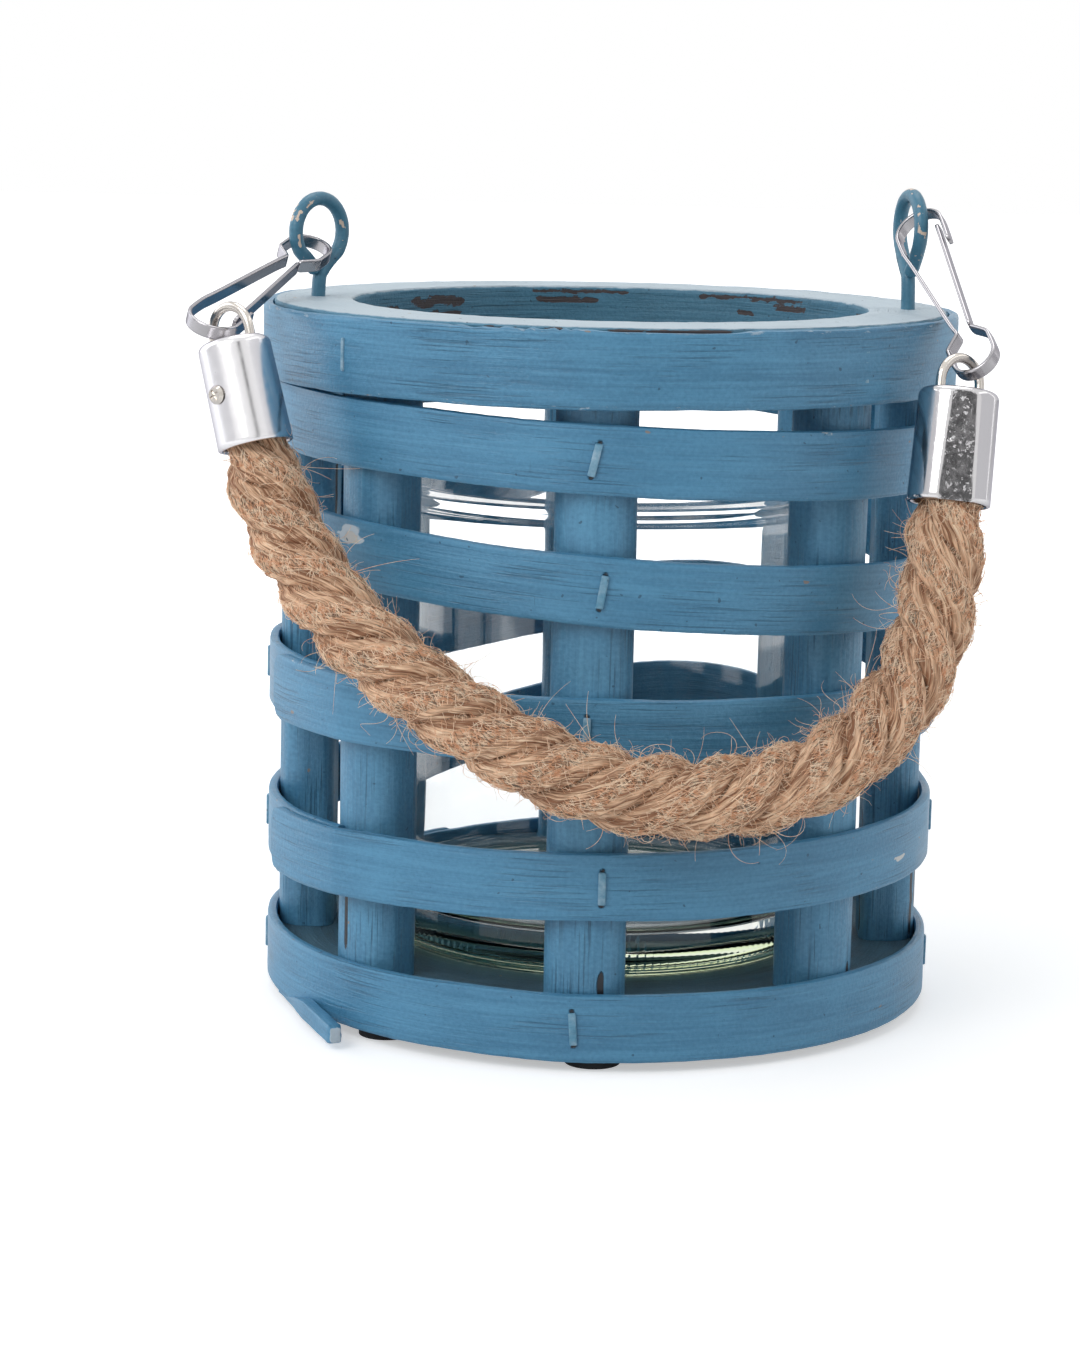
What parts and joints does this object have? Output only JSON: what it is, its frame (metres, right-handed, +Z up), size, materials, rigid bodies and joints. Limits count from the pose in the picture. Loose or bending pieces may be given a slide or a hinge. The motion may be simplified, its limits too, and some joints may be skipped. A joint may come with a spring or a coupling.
{
  "type": "mason jar lantern",
  "caption": "Small candle lantern: a glass jar inside a painted wooden basket of staves and hoops, carried by a rope handle on two wire clips.",
  "frame": {"origin": "on the table under the middle of the basket", "axes": "+Z up, the side the rope hangs over faces -Y, the two eye screws lie along X"},
  "size_m": [0.1152, 0.1178, 0.1231],
  "materials": {
    "ring_paint": "distressed matt blue paint",
    "band_paint": "distressed matt blue paint",
    "stave_paint": "distressed matt blue paint",
    "hoop_paint": "distressed matt blue paint",
    "staple_paint": "painted over with the basket",
    "base_paint": "rough blue paint",
    "pad_black": "matt black",
    "jar_glass": "clear, faint green in the heel",
    "eye_paint": "blue paint chipped to brass",
    "clip_nickel": "bright nickel strip",
    "ferrule_nickel": "bright nickel, lightly pitted",
    "ring_nickel": "bright nickel wire",
    "rope_jute": "three-strand jute rope with stray fibres"
  },
  "bodies": {
    "basket": {"top_ring": "ring_paint", "rim_band": "band_paint", "stave_front": "stave_paint", "stave_front_left": "stave_paint", "stave_left": "stave_paint", "stave_back_left": "stave_paint", "stave_back": "stave_paint", "stave_back_right": "stave_paint", "stave_right": "stave_paint", "stave_front_right": "stave_paint", "hoop_1": "hoop_paint", "hoop_2": "hoop_paint", "hoop_3": "hoop_paint", "hoop_4": "hoop_paint", "hoop_5": "hoop_paint", "hoop_staples": "staple_paint", "rim_staples": "staple_paint", "base_disc": "base_paint", "foot_pads": "pad_black", "eye_screw_left": "eye_paint", "eye_screw_right": "eye_paint"},
    "jar": {"glass_jar": "jar_glass"},
    "clip_right": {"clip_right": "clip_nickel"},
    "clip_left": {"clip_left": "clip_nickel"},
    "gate_right": {"clip_gate_right": "clip_nickel"},
    "gate_left": {"clip_gate_left": "clip_nickel"},
    "handle": {"ferrule_left": "ferrule_nickel", "ferrule_right": "ferrule_nickel", "ferrule_ring_left": "ring_nickel", "ferrule_ring_right": "ring_nickel", "ferrule_screw": "ring_nickel", "rope": "rope_jute"}
  },
  "joints": [
    {"name": "jar_lift", "type": "slide", "parent": "basket", "child": "jar", "axis": [0, 0, 1], "range_m": [0, 0.1]},
    {"name": "clip_right_swing", "type": "hinge", "parent": "basket", "child": "clip_right", "pos_m": [0.0445, 0, 0.1172], "axis": [-0.9996, 0, -0.0271], "range_deg": [0, 120]},
    {"name": "clip_left_swing", "type": "hinge", "parent": "basket", "child": "clip_left", "pos_m": [-0.044, 0, 0.1148], "axis": [-0.9996, 0, -0.0271], "range_deg": [0, 120]},
    {"name": "handle_fold", "type": "hinge", "parent": "clip_right", "child": "handle", "pos_m": [0.0495, -0.03406, 0.09843], "axis": [-0.9989, -0.002, 0.0474], "range_deg": [0, 36]},
    {"name": "gate_right_press", "type": "hinge", "parent": "clip_right", "child": "gate_right", "pos_m": [0.0515, -0.02663, 0.10447], "axis": [-0.5342, -0.5094, 0.6746], "range_deg": [0, 3], "stiffness_Nm_per_rad": 0.05},
    {"name": "gate_left_press", "type": "hinge", "parent": "clip_left", "child": "gate_left", "pos_m": [-0.04639, -0.00846, 0.10997], "axis": [-0.2476, 0.352, -0.9026], "range_deg": [0, 8], "stiffness_Nm_per_rad": 0.05}
  ],
  "couplings": [
    {"joint": "clip_left_swing", "follows": "clip_right_swing", "ratio": 1}
  ]
}
